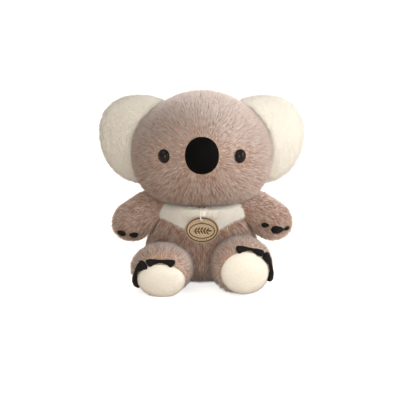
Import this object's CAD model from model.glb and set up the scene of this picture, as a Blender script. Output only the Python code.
import math

import bmesh
import bpy
import numpy as np
from mathutils import Matrix, Vector
from mathutils.bvhtree import BVHTree


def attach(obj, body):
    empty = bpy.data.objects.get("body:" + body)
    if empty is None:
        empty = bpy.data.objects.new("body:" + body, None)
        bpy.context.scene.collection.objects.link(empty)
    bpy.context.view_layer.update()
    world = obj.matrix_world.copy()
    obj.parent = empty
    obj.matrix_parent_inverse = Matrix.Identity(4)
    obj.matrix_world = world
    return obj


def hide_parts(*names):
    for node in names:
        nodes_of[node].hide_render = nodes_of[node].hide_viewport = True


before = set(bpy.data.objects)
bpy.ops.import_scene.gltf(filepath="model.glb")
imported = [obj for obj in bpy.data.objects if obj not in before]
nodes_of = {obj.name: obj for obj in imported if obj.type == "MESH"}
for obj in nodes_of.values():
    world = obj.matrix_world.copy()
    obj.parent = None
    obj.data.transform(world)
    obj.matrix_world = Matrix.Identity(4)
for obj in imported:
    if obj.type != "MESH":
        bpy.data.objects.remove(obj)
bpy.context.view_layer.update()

# Studio: the camera looks a little down on the toy from far off, as the photograph does. A large soft lamp
# stands on the right. Weaker ones stand in front, high on the left and behind. The floor and the air behind
# it are white.

camera_height = math.radians(14.5)
camera_distance = 12.0
camera_reach = 50
seen_width = 0.466
aim_side, aim_rise = -0.0023, 0.0896
lamp_aim = Vector((0, 0, 0.1))
lamps = [
    ("key_lamp", (1.32, -0.46, 0.68), 1.2, 17.6, (1, 0.995, 0.99)),
    ("front_lamp", (0.05, -1.5, 0.45), 1.0, 12.0, (1, 0.95, 0.89)),
    ("top_lamp", (-0.5, -0.7, 1.25), 1.0, 5.0, (1, 0.985, 0.96)),
    ("back_lamp", (0.3, 1.0, 0.9), 0.8, 11.0, (1, 0.98, 0.96)),
]
white = (1, 1, 1, 1)
air_colour = (0.35, 0.30, 0.255, 1)
floor_size = 60
floor_colour = (0.76, 0.69, 0.61, 1)
floor_light = 0.74


def in_scene(name, data):
    """A new object, linked to the scene."""
    made = bpy.data.objects.new(name, data)
    bpy.context.scene.collection.objects.link(made)
    return made


camera_data = bpy.data.cameras.new("camera")
camera_data.lens = camera_data.sensor_width * camera_distance / seen_width
camera_data.clip_end = camera_reach
camera = in_scene("camera", camera_data)
aim = Vector((aim_side, 0, aim_rise / math.cos(camera_height)))
towards_camera = Vector((0, -math.cos(camera_height), math.sin(camera_height)))
camera.location = aim + towards_camera * camera_distance
camera.rotation_euler = (math.pi / 2 - camera_height, 0, 0)
bpy.context.scene.camera = camera

for name, place, size, power, colour in lamps:
    lamp_data = bpy.data.lights.new(name, "AREA")
    lamp_data.shape = "DISK"
    lamp_data.size = size
    lamp_data.energy = power
    lamp_data.color = colour
    lamp = in_scene(name, lamp_data)
    lamp.location = place
    lamp.rotation_euler = (lamp_aim - lamp.location).to_track_quat("-Z", "Y").to_euler()

world = bpy.data.worlds.new("studio")
bpy.context.scene.world = world
world.use_nodes = True
world_nodes = world.node_tree.nodes
world_links = world.node_tree.links


def straight_rays(nodes, links):
    """1 for what the camera sees, also in a mirror or through glass, and 0 for the light on the toy."""
    rays = nodes.new("ShaderNodeLightPath")
    seen = rays.outputs["Is Camera Ray"]
    for kind in ("Is Glossy Ray", "Is Transmission Ray"):
        either = nodes.new("ShaderNodeMath")
        either.operation = "MAXIMUM"
        links.new(seen, either.inputs[0])
        links.new(rays.outputs[kind], either.inputs[1])
        seen = either.outputs[0]
    return seen


air = world_nodes.new("ShaderNodeMix")
air.data_type = "RGBA"
air.inputs[6].default_value = air_colour
air.inputs[7].default_value = white
world_links.new(straight_rays(world_nodes, world_links), air.inputs[0])
world_links.new(air.outputs[2], world_nodes["Background"].inputs["Color"])
bpy.context.scene.view_settings.view_transform = "Standard"

bpy.ops.object.select_all(action="DESELECT")
bpy.ops.mesh.primitive_plane_add(size=floor_size, location=(0, 0, 0))
floor = bpy.context.object
floor.name = "floor"
floor_material = bpy.data.materials.new("white_floor")
floor_material.use_nodes = True
floor_nodes = floor_material.node_tree.nodes
floor_links = floor_material.node_tree.links
floor_shader = floor_nodes["Principled BSDF"]
floor_shader.inputs["Base Color"].default_value = floor_colour
floor_shader.inputs["Roughness"].default_value = 0.9
floor_shader.inputs["Specular IOR Level"].default_value = 0.1
floor_glow = floor_nodes.new("ShaderNodeMath")
floor_glow.operation = "MULTIPLY"
floor_glow.inputs[1].default_value = floor_light
floor_links.new(straight_rays(floor_nodes, floor_links), floor_glow.inputs[0])
floor_shader.inputs["Emission Color"].default_value = white
floor_links.new(floor_glow.outputs[0], floor_shader.inputs["Emission Strength"])
floor.data.materials.append(floor_material)

# Tag string: one thin white cotton string, doubled. Both ends are caught in the neck seam, and the loop
# runs down over the bib and through the hole of the tag.

string_thickness = 0.0012
string_steps = 5
string_route = [
    (-0.0009, -0.0364, 0.0951),
    (-0.0010, -0.0400, 0.0945),
    (-0.0013, -0.0436, 0.0941),
    (-0.0018, -0.0474, 0.0932),
    (-0.0020, -0.0510, 0.0914),
    (-0.0020, -0.0542, 0.0888),
    (-0.0017, -0.0564, 0.0860),
    (-0.0011, -0.0570, 0.0834),
    (-0.0005, -0.0554, 0.0820),
    (0.0000, -0.0538, 0.0815),
    (0.0005, -0.0522, 0.0814),
    (0.0011, -0.0512, 0.0826),
    (0.0017, -0.0509, 0.0852),
    (0.0018, -0.0509, 0.0882),
    (0.0017, -0.0494, 0.0914),
    (0.0014, -0.0466, 0.0934),
    (0.0012, -0.0434, 0.0942),
    (0.0010, -0.0400, 0.0946),
    (0.0009, -0.0364, 0.0951),
]
twist_scale = 900
twist_depth = 0.0002


def smooth_route(points, steps):
    """A curve that runs smoothly through all the points."""
    route = [Vector(p) for p in points]
    route = [route[0] * 2 - route[1]] + route + [route[-1] * 2 - route[-2]]
    smooth = []
    for a, b, c, d in zip(route, route[1:], route[2:], route[3:]):
        for step in range(steps):
            t = step / steps
            smooth.append(0.5 * ((2 * b) + (c - a) * t + (2 * a - 5 * b + 4 * c - d) * t**2
                                 + (3 * b - a - 3 * c + d) * t**3))
    return smooth + [route[-2]]


def shader_of(name, roughness):
    """A new material with its shader, nodes and links."""
    material = bpy.data.materials.new(name)
    material.use_nodes = True
    nodes = material.node_tree.nodes
    shader = nodes["Principled BSDF"]
    shader.inputs["Roughness"].default_value = roughness
    return material, shader, nodes, material.node_tree.links


def linear(red, green, blue):
    """A colour as it is seen in a picture, in the numbers that a shader takes."""
    return tuple(((part / 255 + 0.055) / 1.055) ** 2.4 if part > 10 else part / 3295
                 for part in (red, green, blue))


cotton, cotton_shader, nodes, links = shader_of("twisted_cotton", 0.85)
place = nodes.new("ShaderNodeTexCoord")
twist = nodes.new("ShaderNodeTexWave")
twist.bands_direction = "DIAGONAL"
twist.inputs["Scale"].default_value = twist_scale
twist.inputs["Distortion"].default_value = 1.5
twist_colour = nodes.new("ShaderNodeValToRGB")
twist_colour.color_ramp.elements[0].color = (*linear(226, 221, 210), 1)
twist_colour.color_ramp.elements[1].color = (*linear(253, 251, 246), 1)
twist_bump = nodes.new("ShaderNodeBump")
twist_bump.inputs["Strength"].default_value = 0.5
twist_bump.inputs["Distance"].default_value = twist_depth
links.new(place.outputs["Object"], twist.inputs["Vector"])
links.new(twist.outputs["Fac"], twist_colour.inputs["Fac"])
links.new(twist_colour.outputs["Color"], cotton_shader.inputs["Base Color"])
links.new(twist.outputs["Fac"], twist_bump.inputs["Height"])
links.new(twist_bump.outputs["Normal"], cotton_shader.inputs["Normal"])

string_curve = bpy.data.curves.new("string", "CURVE")
string_curve.dimensions = "3D"
string_curve.bevel_depth = string_thickness / 2
string_curve.bevel_resolution = 3
string_curve.use_fill_caps = True
string_spline = string_curve.splines.new("POLY")
string_points = smooth_route(string_route, string_steps)
string_spline.points.add(len(string_points) - 1)
for spline_point, point in zip(string_spline.points, string_points):
    spline_point.co = (*point, 1)
string = in_scene("string", string_curve)
string_curve.materials.append(cotton)
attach(string, "tag")
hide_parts("tag_string")

# Hang tag: an oval of thick brown card, punched for its string and printed on the front in dark brown ink,
# with two oval lines, a plain sprig of leaves and a row of dots.

tag_half = (0.0196, 0.0154)
tag_half_thickness = 0.00075
tag_rounding = 0.0002
tag_hole_radius = 0.0026
tag_hole_rise = 0.0108
tag_lean = math.radians(9)
ink_low = tag_half_thickness - 0.0001
ink_high = tag_half_thickness + 0.00008
oval_points = 96
line_ovals = {
    "outer_line": ((0.0185, 0.0143, 0), (0.0171, 0.0129, 0)),
    "inner_line": ((0.0151, 0.0092, -0.0012), (0.0139, 0.0080, -0.0012)),
}
leaf_points = 20
leaf_taper = 0.35
leaf_turn = math.radians(52)
upper_leaf = (0.0052, 0.0021)
lower_leaf = (0.0048, 0.0020)
sprig_steps, sprig_step, sprig_wave = 5, 0.0034, 0.0006
sprig_foot = (-0.0085, -0.0014)
dot_step, dot_rise, dot_size = 0.0024, 0.00015, 0.0011
dot_start = (-0.0052, -0.0117)


def mesh_from(name, grid, matrix=None):
    """A new object with the faces of a bmesh grid, all facing out."""
    if matrix:
        bmesh.ops.transform(grid, matrix=matrix, verts=grid.verts)
    bmesh.ops.recalc_face_normals(grid, faces=grid.faces)
    mesh = bpy.data.meshes.new(name)
    grid.to_mesh(mesh)
    grid.free()
    return in_scene(name, mesh)


def grained(name, dark, light, roughness, scale, depth=0.0, sheen=0.0, specular=0.2):
    """A matt or glossy finish with a fine uneven grain in two close colours."""
    material, shader, nodes, links = shader_of(name, roughness)
    shader.inputs["Specular IOR Level"].default_value = specular
    shader.inputs["Sheen Weight"].default_value = sheen
    shader.inputs["Sheen Roughness"].default_value = 0.5
    place = nodes.new("ShaderNodeTexCoord")
    grain = nodes.new("ShaderNodeTexNoise")
    grain.inputs["Scale"].default_value = scale
    grain.inputs["Detail"].default_value = 4
    ramp = nodes.new("ShaderNodeValToRGB")
    for element, position, colour in zip(ramp.color_ramp.elements, (0.3, 0.7), (dark, light)):
        element.position = position
        element.color = (*linear(*colour), 1)
    links.new(place.outputs["Object"], grain.inputs["Vector"])
    links.new(grain.outputs["Fac"], ramp.inputs["Fac"])
    links.new(ramp.outputs["Color"], shader.inputs["Base Color"])
    if depth:
        bump = nodes.new("ShaderNodeBump")
        bump.inputs["Strength"].default_value = 0.6
        bump.inputs["Distance"].default_value = depth
        links.new(grain.outputs["Fac"], bump.inputs["Height"])
        links.new(bump.outputs["Normal"], shader.inputs["Normal"])
    return material


def put_on(pieces, material, body):
    """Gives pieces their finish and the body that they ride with."""
    for piece in pieces:
        piece.data.materials.clear()
        piece.data.materials.append(material)
        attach(piece, body)


def plate(name, outer, inner, low, high, rounding):
    """A flat ring between two closed outlines, with rounded edges."""
    grid = bmesh.new()
    levels = [(low, 0), (high, 0)]
    if rounding:
        levels = [(low, rounding), (low + rounding, 0), (high - rounding, 0), (high, rounding)]
    rings = []
    for outline, sign in ((outer, -1), (inner, 1)):
        middle = Vector((sum(x for x, _ in outline), sum(y for _, y in outline))) / len(outline)
        for level, inset in (levels if sign < 0 else levels[::-1]):
            ring = []
            for x, y in outline:
                away = (Vector((x, y)) - middle).normalized() * inset * sign
                ring.append(grid.verts.new((x + away.x, y + away.y, level)))
            rings.append(ring)
    for first, second in zip(rings, rings[1:] + rings[:1]):
        for k in range(len(first)):
            other = (k + 1) % len(first)
            grid.faces.new((first[k], first[other], second[other], second[k]))
    return mesh_from(name, grid)


def oval(half_x, half_y, rise=0.0):
    """The points of an oval outline."""
    turns = [2 * math.pi * k / oval_points for k in range(oval_points)]
    return [(half_x * math.cos(turn), rise + half_y * math.sin(turn)) for turn in turns]


def leaf(name, foot, angle, long, wide):
    """One thin raised leaf of ink."""
    outline = []
    for k in range(leaf_points):
        turn = 2 * math.pi * k / leaf_points
        along = long * (0.5 - 0.5 * math.cos(turn))
        aside = wide / 2 * math.sin(turn) * (1 - leaf_taper * (along / long))
        outline.append((foot[0] + along * math.cos(angle) - aside * math.sin(angle),
                        foot[1] + along * math.sin(angle) + aside * math.cos(angle)))
    grid = bmesh.new()
    low = [grid.verts.new((x, y, ink_low)) for x, y in outline]
    high = [grid.verts.new((x, y, ink_high)) for x, y in outline]
    grid.faces.new(high)
    grid.faces.new(low[::-1])
    for k in range(leaf_points):
        other = (k + 1) % leaf_points
        grid.faces.new((low[k], low[other], high[other], high[k]))
    return mesh_from(name, grid)


card = grained("brown_card", (144, 125, 100), (177, 158, 130), 0.85, 1200, depth=0.0001)
ink = grained("brown_ink", (42, 28, 18), (70, 50, 34), 0.8, 900)
tag_points = np.array([vertex.co for vertex in nodes_of["hang_tag"].data.vertices])
tag_middle = Vector((tag_points.min(axis=0) + tag_points.max(axis=0)) / 2)
tag_frame = Matrix.Translation(tag_middle) @ Matrix.Rotation(math.pi / 2 - tag_lean, 4, "X")

tag_card = plate("tag_card", oval(*tag_half), oval(tag_hole_radius, tag_hole_radius, tag_hole_rise),
                 -tag_half_thickness, tag_half_thickness, tag_rounding)
prints = [plate(name, oval(*outer), oval(*inner), ink_low, ink_high, 0)
          for name, (outer, inner) in line_ovals.items()]
for step in range(sprig_steps):
    foot = (sprig_foot[0] + step * sprig_step, sprig_foot[1] + sprig_wave * math.sin(step))
    prints.append(leaf("upper_leaf", foot, leaf_turn, *upper_leaf))
    prints.append(leaf("lower_leaf", foot, -leaf_turn, *lower_leaf))
prints.append(leaf("end_leaf", (0.0068, -0.0012), 0, 0.0052, 0.0022))
prints.append(leaf("stem", (-0.0112, -0.0016), math.radians(1), 0.0190, 0.0007))
for step in range(sprig_steps):
    foot = (dot_start[0] + step * dot_step, dot_start[1] + dot_rise * (step - sprig_steps // 2) ** 2)
    prints.append(leaf("dot", foot, 0, dot_size, dot_size))
bpy.ops.object.select_all(action="DESELECT")
for printed in prints:
    printed.select_set(True)
bpy.context.view_layer.objects.active = prints[0]
bpy.ops.object.join()
tag_print = prints[0]
tag_print.name = "tag_print"
for piece, material in ((tag_card, card), (tag_print, ink)):
    piece.data.transform(tag_frame)
    put_on([piece], material, "tag")
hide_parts("hang_tag")

# Body: a pear of knitted cloth with a long soft taupe pile, cut in panels, sewn inside out, turned and
# stuffed. Its top is closed at the neck seam. The pile is brushed downwards, and it stands in small tufts.

density = 1.9
taupe_hair, cream_hair, short_hair = 0.00038, 0.00030, 0.00026
seam_margin, seam_ramp = 0.0008, 0.004
seat_level, pressed_share = 0.002, 0.25
farthest_seen = 0.02
inside_share = 0.7

bare_share, least_share = 0.05, 0.06
tuft_wander, tuft_wander_scale = 0.0006, 0.004
wave_sway, wave_scale = 0.08, 0.011
tuft_sway, own_sway = 0.07, 0.10
stray_part, stray_lean, stray_stretch = 0.10, 0.6, 1.15
tuft_stretch, own_stretch = 0.12, 0.20
tuft_pull, fine_pull = 0.28, 0.12
own_tone, least_tone, most_tone = 0.14, 0.02, 0.97
root_depth, least_root, least_tip = 0.0004, 0.0002, 0.0004
most_hairs = 48000
hair_facets = np.array([(0, 2, 1), (0, 1, 3), (1, 2, 3), (2, 0, 3)])
hair_spread = np.array([0, 0.006, 0.003, 0.002])
hair_height = np.array([0.01, 0.012, 0.02, 0.985])


def points_of(skin):
    """The places and the normals of a skin's points."""
    count = len(skin.data.vertices)
    places, normals = np.empty(count * 3, "f"), np.empty(count * 3, "f")
    skin.data.vertices.foreach_get("co", places)
    skin.data.vertex_normals.foreach_get("vector", normals)
    return places.reshape(-1, 3).astype("f8"), normals.reshape(-1, 3).astype("f8")


def set_points(skin, places):
    skin.data.vertices.foreach_set("co", places.astype("f").ravel())
    skin.data.update()


def sewn_skin(name, node_names, grain, rounds, swell):
    """The outside of sewn CAD pieces as one smooth closed skin, with even facets of a given size."""
    bpy.ops.object.select_all(action="DESELECT")
    copies = []
    for node_name in node_names:
        copy = in_scene(name, nodes_of[node_name].data.copy())
        copy.select_set(True)
        copies.append(copy)
    skin = copies[0]
    bpy.context.view_layer.objects.active = skin
    if len(copies) > 1:
        bpy.ops.object.join()
    skin.data.materials.clear()
    skin.name = name
    remesh = skin.modifiers.new("even", "REMESH")
    remesh.mode = "VOXEL"
    remesh.voxel_size = grain
    bpy.ops.object.modifier_apply(modifier="even")
    relax = skin.modifiers.new("relax", "SMOOTH")
    relax.factor = 0.5
    relax.iterations = rounds
    bpy.ops.object.modifier_apply(modifier="relax")
    places, normals = points_of(skin)
    set_points(skin, places + normals * swell)
    skin.data.shade_smooth()
    return skin


def unit(vectors):
    return vectors / np.maximum(np.linalg.norm(vectors, axis=1, keepdims=True), 1e-9)


def drift(points, scale, seed):
    """A smooth random value between about -1 and 1 at each point, which changes over a given distance."""
    dice = np.random.default_rng(seed)
    value = np.zeros(len(points))
    for _ in range(6):
        direction = dice.normal(size=3)
        value += np.sin(points @ (direction / scale) + dice.uniform(0, 6.3))
    return value / 2.4


def drift_vectors(points, scale, seed):
    return np.stack([drift(points, scale, seed + k) for k in range(3)], 1)


def everywhere(direction):
    """The same direction at each point."""
    return lambda points: np.tile(direction, (len(points), 1))


def clearance(points, names):
    """How far each point is outside the nearest of the neighbouring pieces."""
    nearest = np.full(len(points), 1.0)
    for neighbour in [nodes_of[name].data for name in names]:
        tree = BVHTree.FromPolygons([vertex.co for vertex in neighbour.vertices],
                                    [facet.vertices for facet in neighbour.polygons])
        for index, point in enumerate(points):
            hit, normal, _, distance = tree.find_nearest(point, min(nearest[index], farthest_seen))
            if hit is not None:
                inside = (Vector(point) - hit).dot(normal) < -inside_share * distance
                nearest[index] = min(nearest[index], -distance if inside else distance)
    return nearest


def growth(points, names, margin, ramp):
    """How tall the pile stands: 0 up to a margin round the neighbouring pieces, and then up to 1."""
    return np.clip((clearance(points, names) - margin) / ramp, 0, 1)


def pressed(points):
    """The pile that the toy sits on lies flat."""
    return np.where(points[:, 2] < seat_level, pressed_share, 1)


def stand_pile(name, skin, seed, per_mm2, long, thick, flow, share, shade, mottle=0.30, lean=1.8,
               tuft=0.0018, fine=1.0):
    """Stands a pile on a skin: slender closed three-sided hairs that lean together in tufts."""
    dice = np.random.default_rng(seed)
    skin.data.calc_loop_triangles()
    corners = np.empty(len(skin.data.loop_triangles) * 3, "i")
    skin.data.loop_triangles.foreach_get("vertices", corners)
    corners = corners.reshape(-1, 3)
    places, normals = points_of(skin)
    sides = places[corners]
    areas = np.linalg.norm(np.cross(sides[:, 1] - sides[:, 0], sides[:, 2] - sides[:, 0]), axis=1) / 2
    areas = areas * (share[corners].max(axis=1) > bare_share)
    count = int(areas.sum() * 1e6 * per_mm2)
    chosen = dice.choice(len(corners), count, p=areas / areas.sum())
    first, second = np.sqrt(dice.random(count)), dice.random(count)
    weights = np.stack([1 - first, first * (1 - second), first * second], 1)[:, :, None]
    root = (places[corners[chosen]] * weights).sum(1)
    normal = unit((normals[corners[chosen]] * weights).sum(1))
    height = (share[corners[chosen]] * weights[:, :, 0]).sum(1)
    keep = height > least_share
    root, normal, height = root[keep], normal[keep], height[keep]
    count = len(root)

    wander = drift_vectors(root, tuft_wander_scale, seed) * tuft_wander
    _, cell = np.unique(np.floor((root + wander) / tuft).astype("i8"), axis=0, return_inverse=True)
    cell = cell.ravel()
    cell_count = cell.max() + 1
    cell_turn = dice.normal(size=(cell_count, 3))[cell]
    cell_tall = dice.uniform(-1, 1, cell_count)[cell]
    cell_tone = dice.uniform(-1, 1, cell_count)[cell]

    along = flow(root)
    along -= normal * (along * normal).sum(1, keepdims=True)
    wave = drift_vectors(root, wave_scale, seed + 10)
    stray = dice.random(count) < stray_part
    reach = np.where(stray, stray_lean * lean, lean)[:, None]
    sway = wave_sway * wave + tuft_sway * cell_turn + own_sway * dice.normal(size=(count, 3))
    way = unit(normal + reach * along + fine * sway)
    stretch = 1 + tuft_stretch * cell_tall + own_stretch * dice.uniform(-1, 1, count)
    tall = long * height * stretch * np.where(stray, stray_stretch, 1)
    tip = root + way * tall[:, None]
    sizes = np.maximum(np.bincount(cell, minlength=cell_count), 1)
    tuft_tip = np.stack([np.bincount(cell, tip[:, k], cell_count) / sizes for k in range(3)], 1)
    tip += (tuft_tip[cell] - tip) * (tuft_pull + fine_pull * fine)
    tip[:, 2] = np.maximum(tip[:, 2], least_tip)

    across = unit(np.cross(unit(tip - root), dice.normal(size=(count, 3))))
    over = np.cross(unit(tip - root), across)
    hair = np.empty((count, 4, 3))
    for corner in range(3):
        angle = 2 * math.pi * corner / 3
        rim = (across * math.cos(angle) + over * math.sin(angle)) * (thick / 2)
        hair[:, corner] = root - normal * root_depth + rim
    hair[:, 3] = tip
    hair[:, :3, 2] = np.maximum(hair[:, :3, 2], least_root)
    uneven = mottle(root) if callable(mottle) else mottle
    tone = shade(root) + fine * (uneven * cell_tone + own_tone * dice.normal(size=count))
    tone = np.clip(tone, least_tone, most_tone)

    order = np.argsort(np.arctan2(root[:, 0] - root[:, 0].mean(), root[:, 1] - root[:, 1].mean()))
    parts = np.array_split(order, math.ceil(count / most_hairs))
    made = []
    for number, part in enumerate(parts):
        total = len(part)
        mesh = bpy.data.meshes.new(name)
        mesh.vertices.add(total * 4)
        mesh.vertices.foreach_set("co", hair[part].astype("f").ravel())
        corner_points = (hair_facets[None] + np.arange(total)[:, None, None] * 4).reshape(-1)
        mesh.loops.add(len(corner_points))
        mesh.loops.foreach_set("vertex_index", corner_points.astype("i"))
        mesh.polygons.add(total * 4)
        mesh.polygons.foreach_set("loop_start", np.arange(0, len(corner_points), 3, dtype="i"))
        mesh.polygons.foreach_set("use_smooth", np.ones(total * 4, bool))
        layer = mesh.uv_layers.new(name="OFBake")
        flat = np.empty((total, 4, 3, 2), "f")
        flat[..., 0] = tone[part][:, None, None] + hair_spread[hair_facets][None]
        flat[..., 1] = hair_height[hair_facets][None]
        layer.uv.foreach_set("vector", flat.ravel())
        mesh.update(calc_edges=True)
        made.append(in_scene(f"{name}_{number + 1}" if len(parts) > 1 else name, mesh))
    return made


def pile_finish(name, root_colour, body_colour, tip_colour, warm_colour):
    """Hairs that change from root to tip, each with its own tone between a warm shade and full light."""
    material, shader, nodes, links = shader_of(name, 0.75)
    shader.inputs["Sheen Weight"].default_value = 0.25
    shader.inputs["Sheen Roughness"].default_value = 0.5
    shader.inputs["Specular IOR Level"].default_value = 0.25
    own_map = nodes.new("ShaderNodeUVMap")
    own_map.uv_map = "OFBake"
    parts = nodes.new("ShaderNodeSeparateXYZ")
    along_hair = nodes.new("ShaderNodeValToRGB")
    ramp = along_hair.color_ramp
    ramp.elements[0].color = (*linear(*root_colour), 1)
    ramp.elements[1].color = (*linear(*tip_colour), 1)
    ramp.elements.new(0.45).color = (*linear(*body_colour), 1)
    warmth = nodes.new("ShaderNodeMix")
    warmth.data_type = "RGBA"
    warmth.blend_type = "MULTIPLY"
    warmth.inputs[0].default_value = 1
    tone_colour = nodes.new("ShaderNodeValToRGB")
    tone_colour.color_ramp.elements[0].color = (*warm_colour, 1)
    tone_colour.color_ramp.elements[1].color = white
    links.new(own_map.outputs[0], parts.inputs[0])
    links.new(parts.outputs["Y"], along_hair.inputs["Fac"])
    links.new(parts.outputs["X"], tone_colour.inputs["Fac"])
    links.new(along_hair.outputs["Color"], warmth.inputs[6])
    links.new(tone_colour.outputs["Color"], warmth.inputs[7])
    links.new(warmth.outputs[2], shader.inputs["Base Color"])
    return material


taupe_hairs = pile_finish("taupe_hairs", (150, 104, 76), (235, 220, 211), (250, 242, 238),
                          (0.47, 0.255, 0.155))
taupe_cloth = grained("taupe_cloth", (140, 112, 94), (188, 160, 140), 0.9, 900, depth=0.0005, sheen=0.2)
cream_hairs = pile_finish("cream_hairs", (238, 236, 228), (243, 241, 235), (246, 245, 240),
                          (0.76, 0.745, 0.71))
cream_cloth = grained("cream_cloth", (228, 223, 210), (244, 242, 234), 0.9, 900, depth=0.0004, sheen=0.2)

torso = sewn_skin("body_cloth", ["torso_cover", "torso_filling"], grain=0.0024, rounds=14, swell=-0.0004)
places, _ = points_of(torso)
sewn_to_torso = ["head_cover", "arm_left_cover", "arm_right_cover", "leg_left_cover", "leg_right_cover",
                 "chest_bib"]
share = growth(places, sewn_to_torso, seam_margin, 0.005) * pressed(places)


def body_flow(points):
    """Down, and away from the middle where the body is wide."""
    return np.stack([points[:, 0] * 2, points[:, 1] * 2, np.full(len(points), -1.0)], 1)


torso_pile = stand_pile("body_pile", torso, 11, density, 0.0076, taupe_hair, body_flow, share,
                        lambda p: 0.41 + 0.09 * drift(p, 0.007, 3), mottle=0.44, lean=1.5, tuft=0.0019)
put_on([torso], taupe_cloth, "torso")
put_on(torso_pile, taupe_hairs, "torso")
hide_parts("torso_cover")

# Head: a wide round ball of the same taupe pile, sewn to the body at the neck. The cloth is drawn in a
# little round the eyes and the nose, and the pile spreads away from them. Its top is paler than its chin.

nose_seat = np.array((0, -0.0694, 0.1631))
eye_seats = {side: np.array((out, -0.0616, 0.1609)) for side, out in (("left", -0.0442), ("right", 0.0442))}
nose_dent = (0.028, 0.0006)
eye_dent = (0.013, 0.0008)
under_fitting = -0.0006
face_share, face_gain, face_ramp = 0.38, 0.62, 0.009
neck_margin, neck_ramp = -0.0002, 0.0045
neck_swell, neck_reach = 0.0009, 0.006
eye_flow, eye_reach = 1.6, 0.011
parting_flow, parting_width, parting_top, parting_ramp = 0.3, 0.006, 0.140, 0.02
face_level = 0.155

head = sewn_skin("head_cloth", ["head_cover", "head_filling"], grain=0.0024, rounds=16, swell=-0.0005)
places, normals = points_of(head)
for seat, (reach, depth) in [(nose_seat, nose_dent), *[(seat, eye_dent) for seat in eye_seats.values()]]:
    near = np.exp(-(np.linalg.norm(places - seat, axis=1) / reach) ** 2)
    places -= normals * (near * depth)[:, None]
set_points(head, places)
places, normals = points_of(head)
gap = clearance(places, ["nose", "eye_left", "eye_right"])
share = np.where(gap < under_fitting, 0, face_share + face_gain * np.clip(gap / face_ramp, 0, 1))
share *= growth(places, ["ear_left_cover", "ear_right_cover"], seam_margin, seam_ramp)
gap = clearance(places, ["torso_cover", "chest_bib"])
share *= np.clip((gap - neck_margin) / neck_ramp, 0, 1)
set_points(head, places + normals * (neck_swell * np.clip(1 - gap / neck_reach, 0, 1))[:, None])


def head_flow(points):
    """Away from the nose, away from each eye close by, and parted under the nose."""
    flow = unit(points - nose_seat)
    for seat in eye_seats.values():
        from_eye = points - seat
        distance = np.linalg.norm(from_eye, axis=1, keepdims=True)
        flow += from_eye / distance * eye_flow * np.exp(-(distance / eye_reach) ** 2)
    under = np.clip((parting_top - points[:, 2]) / parting_ramp, 0, 1)
    under = np.exp(-(points[:, 0] / parting_width) ** 2) * under
    flow[:, 0] += np.sign(points[:, 0]) * under * parting_flow
    return flow


def head_tone(points):
    return 0.67 + 3.2 * (points[:, 2] - face_level) + 0.06 * drift(points, 0.02, 5)


def head_mottle(points):
    return np.clip(0.34 - 6.0 * (points[:, 2] - face_level), 0.12, 0.60)


head_pile = stand_pile("head_pile", head, 21, density, 0.0074, taupe_hair, head_flow, share, head_tone,
                       mottle=head_mottle)
put_on([head], taupe_cloth, "head")
put_on(head_pile, taupe_hairs, "head")
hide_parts("head_cover")

# Ears: two padded discs of short dense cream pile, turned and lightly stuffed, and sewn to the sides of the
# head along their inner edges. The pile is brushed outwards.

for side, seed, out in (("left", 31, -1), ("right", 32, 1)):
    ear = sewn_skin(f"ear_{side}_cloth", [f"ear_{side}_cover", f"ear_{side}_filling"], grain=0.002, rounds=14,
                    swell=-0.0002)
    places, _ = points_of(ear)
    share = growth(places, ["head_cover"], 0.0005, 0.003)
    ear_root = np.array((0.045 * out, 0.02, 0.158))
    ear_pile = stand_pile(f"ear_{side}_pile", ear, seed, density * 1.5, 0.0032, cream_hair,
                          lambda p: unit(p - ear_root), share, lambda p: 0.93 + 0.04 * drift(p, 0.02, 7),
                          mottle=0.1, lean=1.3, tuft=0.0009, fine=0.15)
    put_on([ear], cream_cloth, f"ear_{side}")
    put_on(ear_pile, cream_hairs, f"ear_{side}")
    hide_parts(f"ear_{side}_cover")

# Arms: two stuffed tubes of taupe pile with rounded ends, sewn to the shoulders. The pile is brushed to the
# hands.

for side, seed, out in (("left", 41, -1), ("right", 42, 1)):
    arm = sewn_skin(f"arm_{side}_cloth", [f"arm_{side}_cover", f"arm_{side}_filling"], grain=0.002, rounds=12,
                    swell=-0.0004)
    places, _ = points_of(arm)
    share = growth(places, ["torso_cover", "chest_bib"], seam_margin, seam_ramp)
    share *= growth(places, [f"hand_claw_{side}_{number}" for number in (1, 2, 3)], 0, seam_ramp) ** 0.7
    share *= 0.4 + 0.6 * growth(places, ["head_cover"], 0.001, 0.005)
    arm_pile = stand_pile(f"arm_{side}_pile", arm, seed, density, 0.0066, taupe_hair,
                          everywhere((0.85 * out, -0.34, -0.45)), share,
                          lambda p: 0.50 + 0.05 * drift(p, 0.02, 9), mottle=0.36)
    put_on([arm], taupe_cloth, f"arm_{side}")
    put_on(arm_pile, taupe_hairs, f"arm_{side}")
    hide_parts(f"arm_{side}_cover")

# Legs: two stuffed tubes of taupe pile that widen to the feet and end in flat soles. They are sewn to the
# hips. The pile gets shorter round the sole.

sole_share, sole_gain, sole_margin, sole_ramp = 0.34, 0.66, 0.001, 0.012
sole_start, sole_end_ramp = 0.050, 0.010

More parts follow.
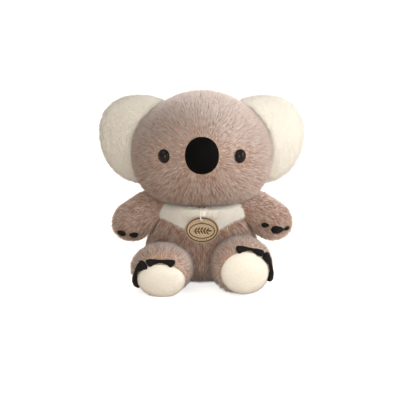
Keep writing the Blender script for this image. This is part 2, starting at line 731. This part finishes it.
for side, seed, out in (("left", 51, -1), ("right", 52, 1)):
    leg = sewn_skin(f"leg_{side}_cloth", [f"leg_{side}_cover", f"leg_{side}_filling"], grain=0.0022,
                    rounds=14, swell=-0.0004)
    places, _ = points_of(leg)
    share = growth(places, ["torso_cover"], seam_margin, seam_ramp)
    gap = clearance(places, [f"foot_pad_{side}", f"toe_claws_{side}_top", f"toe_claws_{side}_side"])
    round_sole = sole_share + sole_gain * np.clip((gap - sole_margin) / sole_ramp, 0, 1)
    share *= np.where(gap < 0.0002, 0, round_sole)
    share *= pressed(places)
    to_sole = np.array((0.137 * out, -0.98, 0.13))
    ankle = np.array((0.041 * out, -0.03, 0.026))

    def leg_flow(points):
        """Outwards over the rim of the sole, and back along the limb."""
        off_axis = points - ankle
        reached = off_axis @ to_sole
        off_axis -= reached[:, None] * to_sole
        on_sole = np.clip((reached - sole_start) / sole_end_ramp, 0, 1)[:, None]
        return unit(off_axis) * 0.9 * on_sole - to_sole * (0.8 - 0.3 * on_sole)

    leg_pile = stand_pile(f"leg_{side}_pile", leg, seed, density, 0.0070, taupe_hair, leg_flow, share,
                          lambda p: 0.64 + 0.05 * drift(p, 0.02, 13), mottle=0.36)
    put_on([leg], taupe_cloth, f"leg_{side}")
    put_on(leg_pile, taupe_hairs, f"leg_{side}")
    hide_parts(f"leg_{side}_cover")

# Foot pads: ovals of very short cream pile over a thin wad, sewn to the soles. They bulge over their seams.
# In the frame of each limb, +Z runs down the limb and out of its sole.

limb_frames = {
    "left": Matrix(((0.9903, 0.0110, -0.1387, -0.041), (-0.1392, 0.0779, -0.9872, -0.030),
                    (0, 0.9969, 0.0787, 0.0245), (0, 0, 0, 1))),
    "right": Matrix(((0.9903, -0.0259, 0.1367, 0.041), (0.1392, 0.1843, -0.9730, -0.030),
                     (0, 0.9825, 0.1862, 0.0245), (0, 0, 0, 1))),
}
pad_middle = {"left": (0.0017, -0.0090), "right": (0.0003, -0.0065)}
pad_half_height = {"left": 0.02044, "right": 0.02479}
pad_half_width = 0.0273
pad_half_depth = 0.0110
pad_reach = 0.0575
pad_lip = 0.0003
pad_turns, pad_front_rings, pad_back_rings = 96, 22, 10
edge_halvings, edge_smoothings = 14, 6
look_from, look_miss = 0.1, 0.03
least_pad = 0.0004


def ground_under(side, *node_names):
    """Looks up the limb at its outside: gives the place and the normal at a point of the sole."""
    back = limb_frames[side].inverted()
    trees = [BVHTree.FromPolygons([back @ vertex.co for vertex in data.vertices],
                                  [facet.vertices for facet in data.polygons])
             for data in (nodes_of[name].data for name in node_names)]

    def look(x, y):
        hits = [tree.ray_cast(Vector((x, y, look_from)), Vector((0, 0, -1))) for tree in trees]
        hits = [hit for hit in hits if hit[0]]
        if not hits:
            return Vector((x, y, look_miss)), Vector((0, 0, 1))
        return max(hits, key=lambda hit: hit[0].z)[:2]

    return look


def close_rows(grid, rows):
    """Faces between rows of points that run round a form. A row of one point is a pole."""
    for low, high in zip(rows, rows[1:]):
        for k in range(max(len(low), len(high))):
            corners = [row[j % len(row)] for row, j in ((low, k), (low, k + 1), (high, k + 1), (high, k))]
            grid.faces.new(list(dict.fromkeys(corners)))


def padded_sole(side):
    """The pad as a closed lens: a dome in front, and the sole's own surface behind."""
    sole = ground_under(side, f"leg_{side}_cover")
    middle_x, middle_y = pad_middle[side]
    half_height = pad_half_height[side]
    turns = [2 * math.pi * k / pad_turns for k in range(pad_turns)]

    def dome(across, up):
        flat = (across / pad_half_width) ** 2 + (up / half_height) ** 2
        return pad_reach + pad_half_depth * math.sqrt(max(1 - flat, 0))

    def thickness(share, turn):
        across, up = share * pad_half_width * math.cos(turn), share * half_height * math.sin(turn)
        return dome(across, up) - sole(middle_x + across, middle_y + up)[0].z

    edges = []
    for turn in turns:
        near, far = 0.4, 1.0
        for _ in range(edge_halvings):
            half = (near + far) / 2
            near, far = (half, far) if thickness(half, turn) > pad_lip else (near, half)
        edges.append(near)
    for _ in range(edge_smoothings):
        before, after = edges[-1:] + edges[:-1], edges[1:] + edges[:1]
        edges = [(a + 2 * b + c) / 4 for a, b, c in zip(before, edges, after)]
    grid = bmesh.new()
    rows = []
    for front, rings in ((True, pad_front_rings), (False, pad_back_rings)):
        for ring in range(rings + 1):
            share = math.sin(math.pi / 2 * (ring / rings if front else 1 - ring / rings))
            row = []
            for turn, edge in zip(turns, edges):
                across = share * edge * pad_half_width * math.cos(turn)
                up = share * edge * half_height * math.sin(turn)
                ground = sole(middle_x + across, middle_y + up)[0].z
                height = max(dome(across, up), ground + pad_lip) if front else ground - pad_lip
                row.append(grid.verts.new((middle_x + across, middle_y + up, height)))
                if share == 0:
                    break
            rows.append(row)
    close_rows(grid, rows)
    pad = mesh_from(f"foot_pad_{side}_cloth", grid, limb_frames[side])
    places, _ = points_of(pad)
    places[:, 2] = np.maximum(places[:, 2], least_pad)
    set_points(pad, places)
    pad.data.shade_smooth()
    return pad


for side, seed in (("left", 61), ("right", 62)):
    pad = padded_sole(side)
    places, _ = points_of(pad)
    share = growth(places, [f"leg_{side}_cover"], 0.0001, 0.0012)
    pad_pile = stand_pile(f"foot_pad_{side}_pile", pad, seed, density * 2, 0.0015, short_hair,
                          everywhere((0.0, 0.0, -1.0)), share, lambda p: 0.42 + 0.04 * drift(p, 0.015, 15),
                          lean=1.0, tuft=0.0010, fine=0.25)
    put_on([pad], cream_cloth, f"leg_{side}")
    put_on(pad_pile, cream_hairs, f"leg_{side}")
    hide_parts(f"foot_pad_{side}")

# Bib: a crescent of cream pile that is sewn over the top of the chest, from shoulder to shoulder. The string
# and the tag press its pile down.

bib_rim, bib_rise = 0.006, 0.0008

bib = sewn_skin("bib_cloth", ["chest_bib"], grain=0.0009, rounds=8, swell=0.0003)
places, _ = points_of(bib)
near_top = np.clip(1 - (places[:, 2].max() - places[:, 2]) / bib_rim, 0, 1)
places[:, 2] += near_top * bib_rise
set_points(bib, places)
places, _ = points_of(bib)
share = growth(places, ["torso_cover"], 0.0009, 0.001)
share *= np.clip(clearance(places, ["hang_tag", "tag_string"]) / seam_ramp - 0.1, 0.22, 1)
share *= growth(places, ["arm_left_cover", "arm_right_cover"], 0.0005, 0.003)
bib_pile = stand_pile("bib_pile", bib, 71, density * 1.7, 0.0040, cream_hair, everywhere((0.0, 0.0, -1.0)),
                      share, lambda p: 0.92 + 0.03 * drift(p, 0.015, 17), mottle=0.1, lean=1.4, tuft=0.0010,
                      fine=0.25)
put_on([bib], cream_cloth, "torso")
put_on(bib_pile, cream_hairs, "torso")
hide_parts("chest_bib")

# Eyes: polished domes of dark brown plastic, each on a barbed post that goes through the cloth to its
# washer.

eye_half = (0.0077, 0.0086, 0.0070)
eye_sink = 0.0018
eye_back = 0.0001
eye_post_seat = 0.0015
eye_facing = (0.397, -0.904, 0.160)
eye_tilt = math.radians(14)
post_radius, barb_radius = 0.0019, 0.0024
post_length, post_point = 0.0126, 0.0016
post_sides = 24
barb_count, barb_step, barb_height = 4, 0.002, 0.0012

brown_gloss = grained("brown_gloss", (7, 4, 3), (28, 17, 11), 0.09, 240, specular=0.12)


def fitting_frame(seat, facing, tilt):
    """The place and turn of a fitting: +Z faces out of the cloth, and +Y is as near to up as can be."""
    forward = Vector(facing).normalized()
    across = Vector((0, 0, 1)).cross(forward).normalized()
    turn = Matrix((across, forward.cross(across), forward)).transposed().to_4x4()
    return Matrix.Translation(seat) @ turn @ Matrix.Rotation(tilt, 4, "Z")


def unit_sphere(name, segments, rings):
    bpy.ops.object.select_all(action="DESELECT")
    bpy.ops.mesh.primitive_uv_sphere_add(segments=segments, ring_count=rings, radius=1)
    sphere = bpy.context.object
    sphere.name = name
    return sphere


def open_all():
    """Opens the new sphere for edits, with all of its points selected."""
    bpy.ops.object.mode_set(mode="EDIT")
    bpy.ops.mesh.select_all(action="SELECT")


def cut_flat(level):
    """Cuts off what lies under a level of the open sphere, closes the cut and ends the edits."""
    bpy.ops.mesh.bisect(plane_co=(0, 0, level), plane_no=(0, 0, 1), clear_inner=True, use_fill=True)
    bpy.ops.object.mode_set(mode="OBJECT")


def barbed_post(grid, seat):
    """A post with barbs, turned as one profile, on the inner side of a fitting."""
    outline = [(0, -post_length), (post_radius, -post_length + post_point)]
    for step in range(barb_count):
        low = -post_length + post_point + step * barb_step
        outline += [(barb_radius, low + barb_height), (post_radius, low + barb_step)]
    outline.append((post_radius, seat))
    turns = [2 * math.pi * k / post_sides for k in range(post_sides)]
    rows = [[grid.verts.new((r * math.cos(turn), r * math.sin(turn), z)) for turn in (turns if r else [0])]
            for r, z in outline]
    for low, high in zip(rows, rows[1:]):
        for k in range(post_sides):
            other = (k + 1) % post_sides
            if len(low) == 1:
                grid.faces.new((low[0], high[other], high[k]))
            else:
                grid.faces.new((low[k], low[other], high[other], high[k]))
    grid.faces.new(rows[-1])


def fit_dome(dome, post_seat, place):
    """Gives a dome its post and puts it in its place on the head."""
    grid = bmesh.new()
    grid.from_mesh(dome.data)
    barbed_post(grid, post_seat)
    grid.to_mesh(dome.data)
    grid.free()
    dome.data.transform(place)
    dome.data.shade_smooth()


for side, out in (("left", -1), ("right", 1)):
    eye = unit_sphere(f"eye_{side}_dome", 64, 40)
    open_all()
    bpy.ops.transform.resize(value=eye_half)
    bpy.ops.transform.translate(value=(0, 0, -eye_sink))
    cut_flat(eye_back)
    facing = (eye_facing[0] * out, *eye_facing[1:])
    fit_dome(eye, eye_post_seat, fitting_frame(eye_seats[side], facing, -out * eye_tilt))
    put_on([eye], brown_gloss, "head")
    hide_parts(f"eye_{side}")

# Nose: a hollow oval dome of matte black plastic with a fine leather-like grain, on a post and washer as the
# eyes are. Its open back lies hidden against the cloth, and it is drawn closed here.

nose_half = (0.0199, 0.0222, 0.0140)
nose_sink = 0.0035
nose_back = -0.0022
nose_post_seat = 0.002
nose_fullness = 2.12
nose_facing = (0, -0.9987, 0.0503)

black_matte = grained("black_matte", (3, 3, 3), (9, 8, 8), 0.6, 1400, depth=0.0002, specular=0.03)

nose = unit_sphere("nose_dome", 96, 64)
for vertex in nose.data.vertices:
    total = sum(abs(part) ** nose_fullness for part in vertex.co) ** (-1 / nose_fullness)
    vertex.co = [part * total * half for part, half in zip(vertex.co, nose_half)]
    vertex.co.z -= nose_sink
open_all()
cut_flat(nose_back)
fit_dome(nose, nose_post_seat, fitting_frame(nose_seat, nose_facing, 0))
put_on([nose], black_matte, "head")
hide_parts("nose")

# Hand claws: three small stuffed points of black cloth at the end of each arm, stitched on. The middle one
# is the largest.

claw_sizes = {"left": (0.88, 1.04, 0.9), "right": (0.80, 1.26, 0.78)}
claw_root_gain, claw_tip_loss, claw_tip_stretch = 0.14, 0.42, 0.12

black_cloth = grained("black_cloth", (8, 7, 7), (26, 23, 22), 0.8, 1500, depth=0.0003, sheen=0.03,
                      specular=0.1)

for side, out in (("left", -1), ("right", 1)):
    for number, size in zip((1, 2, 3), claw_sizes[side]):
        claw = sewn_skin(f"hand_claw_{side}_{number}_cloth", [f"hand_claw_{side}_{number}"], grain=0.0005,
                         rounds=8, swell=0.0006)
        places, _ = points_of(claw)
        middle = places.mean(axis=0)
        axis = np.linalg.svd(places - middle, full_matrices=False)[2][0]
        axis *= np.sign(axis[0] * out - axis[2])
        along = (places - middle) @ axis
        off_axis = places - middle - along[:, None] * axis
        share = along / np.abs(along).max()
        narrow = 1 + claw_root_gain * np.clip(-share, 0, 1) - claw_tip_loss * np.clip(share, 0, 1)
        stretched = along * (1 + claw_tip_stretch * (share > 0))
        pointed = axis * stretched[:, None] + off_axis * narrow[:, None]
        set_points(claw, middle + pointed * size)
        put_on([claw], black_cloth, f"arm_{side}")
        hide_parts(f"hand_claw_{side}_{number}")

# Toe claws: two strips of black cloth on each foot, lightly stuffed and wound with thread in the middle, so
# that each puffs out at both ends. They are stitched along the rim of the pad, end to end. Each row says
# where a strip starts and ends round the pad in degrees, how far off the rim it lies, and how full it is.

claw_rows = {
    ("left", "top"): (-33, 34, 0.0016, 1.0),
    ("left", "side"): (35, 112, 0.0026, 1.3),
    ("right", "top"): (-19, 45, 0.0022, 1.0),
    ("right", "side"): (46, 113, 0.0034, 1.3),
}
claw_half_width = 0.0046
claw_half_thickness = 0.0032
claw_lift = 0.0017
strip_stations, strip_sides, strip_smoothings = 84, 48, 12
end_start, end_reach = 0.84, 0.16
waist_size, waist_gain, waist_reach = 0.30, 0.70, 0.78
thread_size, thread_reach, thread_ripple, thread_turns = 0.12, 0.075, 0.4, 330
gather_depth, gather_middle, gather_reach, gather_count = 0.30, 0.20, 0.26, 9
crumple_depth = 0.06
weld_distance = 0.00001


def wound_strip(name, side, start, end, off_rim, full, seed):
    """Two puffed ends with gathers that run to the thread wound round the middle."""
    ground = ground_under(side, f"leg_{side}_cover", f"foot_pad_{side}")
    out = -1 if side == "left" else 1
    middles, normals, acrosses = [], [], []
    for station in range(strip_stations + 1):
        turn = math.radians(start + (end - start) * station / strip_stations) * out
        across = Vector((math.sin(turn), math.cos(turn), 0))
        place, normal = ground(pad_middle[side][0] + across.x * (pad_half_width + off_rim),
                               pad_middle[side][1] + across.y * (pad_half_height[side] + off_rim))
        middles.append(place)
        normals.append(normal)
        acrosses.append(across)
    for _ in range(strip_smoothings):
        for line in (middles, normals):
            line[1:-1] = [(a + b * 2 + c) / 4 for a, b, c in zip(line, line[1:], line[2:])]
    grid = bmesh.new()
    rows = []
    for station in range(strip_stations + 1):
        share = station / strip_stations
        apart = abs(2 * share - 1)
        open_end = math.sqrt(max(1 - max((apart - end_start) / end_reach, 0) ** 2, 0))
        spread = (waist_size + waist_gain * min(apart / waist_reach, 1)) * open_end
        ripple = 1 + thread_ripple * math.sin(share * thread_turns)
        thread = thread_size * math.exp(-(apart / thread_reach) ** 4) * ripple
        gather = gather_depth * math.exp(-((apart - gather_middle) / gather_reach) ** 2)
        up = normals[station].normalized()
        side_way = (acrosses[station] - up * acrosses[station].dot(up)).normalized()
        ring = []
        for k in range(strip_sides):
            angle = 2 * math.pi * k / strip_sides
            fold = 1 - gather * (0.5 + 0.5 * math.cos(gather_count * angle + seed)) ** 1.5
            crumple = math.sin(4 * angle + 9 * share + seed) * math.sin(17 * share + 2 * angle)
            size = (spread + thread) * fold * (1 + crumple_depth * crumple) * full
            rise = claw_lift + math.sin(angle) * claw_half_thickness * size
            aside = math.cos(angle) * claw_half_width * size
            ring.append(grid.verts.new(middles[station] + up * rise + side_way * aside))
        rows.append(ring)
    close_rows(grid, rows)
    bmesh.ops.remove_doubles(grid, verts=grid.verts, dist=weld_distance)
    strip = mesh_from(name, grid, limb_frames[side])
    strip.data.shade_smooth()
    return strip


for seed, ((side, row), strip_values) in enumerate(claw_rows.items()):
    strip = wound_strip(f"toe_claws_{side}_{row}_strip", side, *strip_values, seed)
    put_on([strip], black_cloth, f"leg_{side}")
    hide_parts(f"toe_claws_{side}_{row}")

# Inside: loose white fibre fills each cover, and a small cloth bag of pellets weighs down the seat. Pale
# toothed washers lock the posts of the eyes and the nose behind the cloth.

lump_scale, lump_depth = 0.006, 0.0012

fibre = grained("loose_fibre", (214, 210, 202), (248, 246, 240), 0.95, 500, depth=0.0012, sheen=0.2)
bag_weave = grained("bag_weave", (190, 183, 166), (222, 216, 202), 0.9, 1600, depth=0.0003, sheen=0.2)
pale_plastic = grained("pale_plastic", (220, 216, 206), (240, 238, 232), 0.45, 700, specular=0.5)

for number, body in enumerate(("torso", "head", "ear_left", "ear_right", "arm_left", "arm_right", "leg_left",
                               "leg_right")):
    wad = sewn_skin(f"{body}_fibre", [f"{body}_filling"], grain=0.003, rounds=6, swell=-0.0006)
    places, normals = points_of(wad)
    lumps = 0.5 + 0.5 * drift(places, lump_scale, 80 + number)
    set_points(wad, places - normals * (np.clip(lumps, 0, 1) * lump_depth)[:, None])
    put_on([wad], fibre, body)
    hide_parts(f"{body}_filling")

for node, material in (("pellet_bag", bag_weave), ("nose_washer", pale_plastic),
                       ("eye_washer_left", pale_plastic), ("eye_washer_right", pale_plastic)):
    nodes_of[node].data.materials.clear()
    nodes_of[node].data.materials.append(material)
